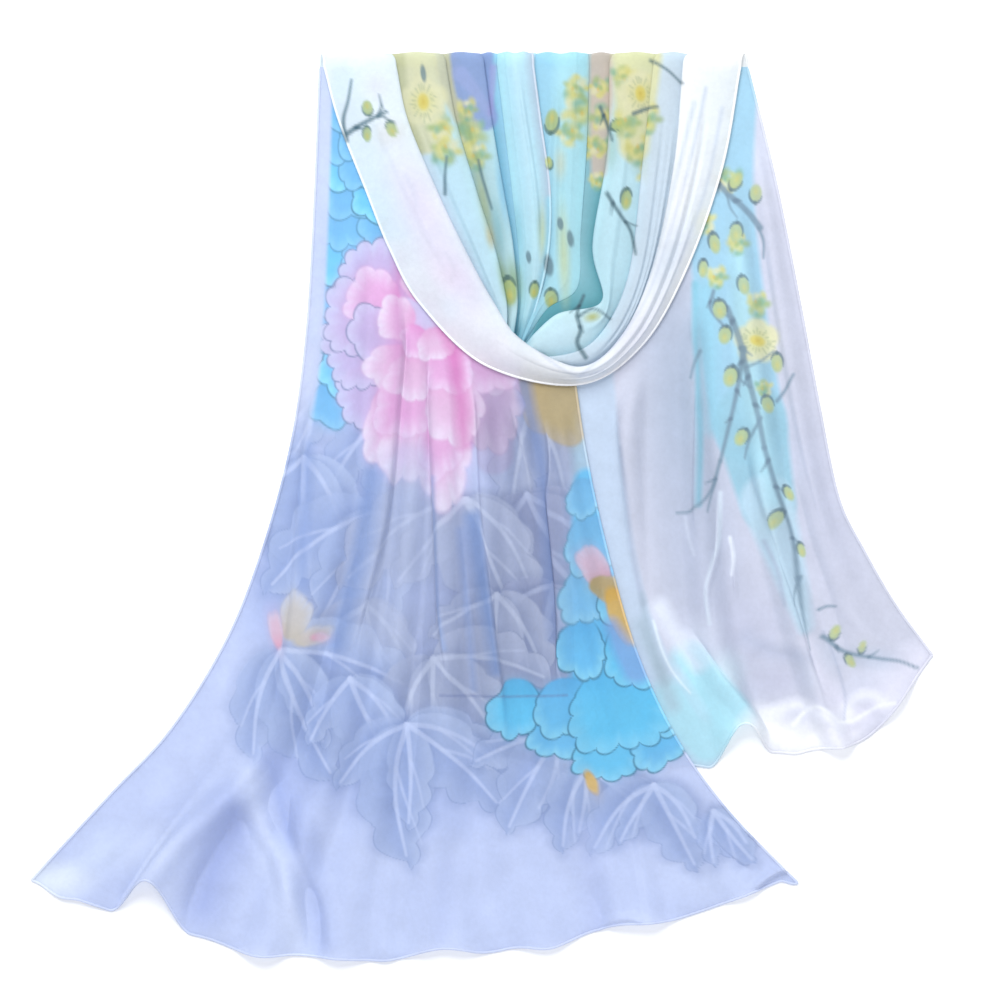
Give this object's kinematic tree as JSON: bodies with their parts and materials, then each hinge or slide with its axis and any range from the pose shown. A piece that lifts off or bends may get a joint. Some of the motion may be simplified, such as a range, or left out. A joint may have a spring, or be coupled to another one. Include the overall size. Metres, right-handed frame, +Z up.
{
  "type": "chiffon scarf",
  "caption": "Sheer rectangular scarf laid flat: a long fanned tail over a short one, with a draped cowl loop of nested pleats on top.",
  "frame": {"origin": "on the surface that the scarf lies on, under the middle of its bounding box", "axes": "+Z up out of the surface, +Y towards the folded top edge, +X towards the short tail"},
  "size_m": [0.54, 0.5452, 0.0215],
  "materials": {
    "chiffon_periwinkle": "sheer woven chiffon, grey-blue leaf print on periwinkle",
    "chiffon_lavender": "sheer woven chiffon, lavender grey with a cyan strip and twigs",
    "chiffon_turquoise": "sheer woven chiffon, turquoise with yellow-green blossoms",
    "chiffon_white": "sheer woven chiffon, near white border"
  },
  "bodies": {
    "root": {"tail_long": "chiffon_periwinkle", "tail_short": "chiffon_lavender", "fold_left": "chiffon_white", "fold_right": "chiffon_white", "swag_left": "chiffon_turquoise", "swag_base": "chiffon_white", "swag_right": "chiffon_turquoise"}
  },
  "joints": []
}
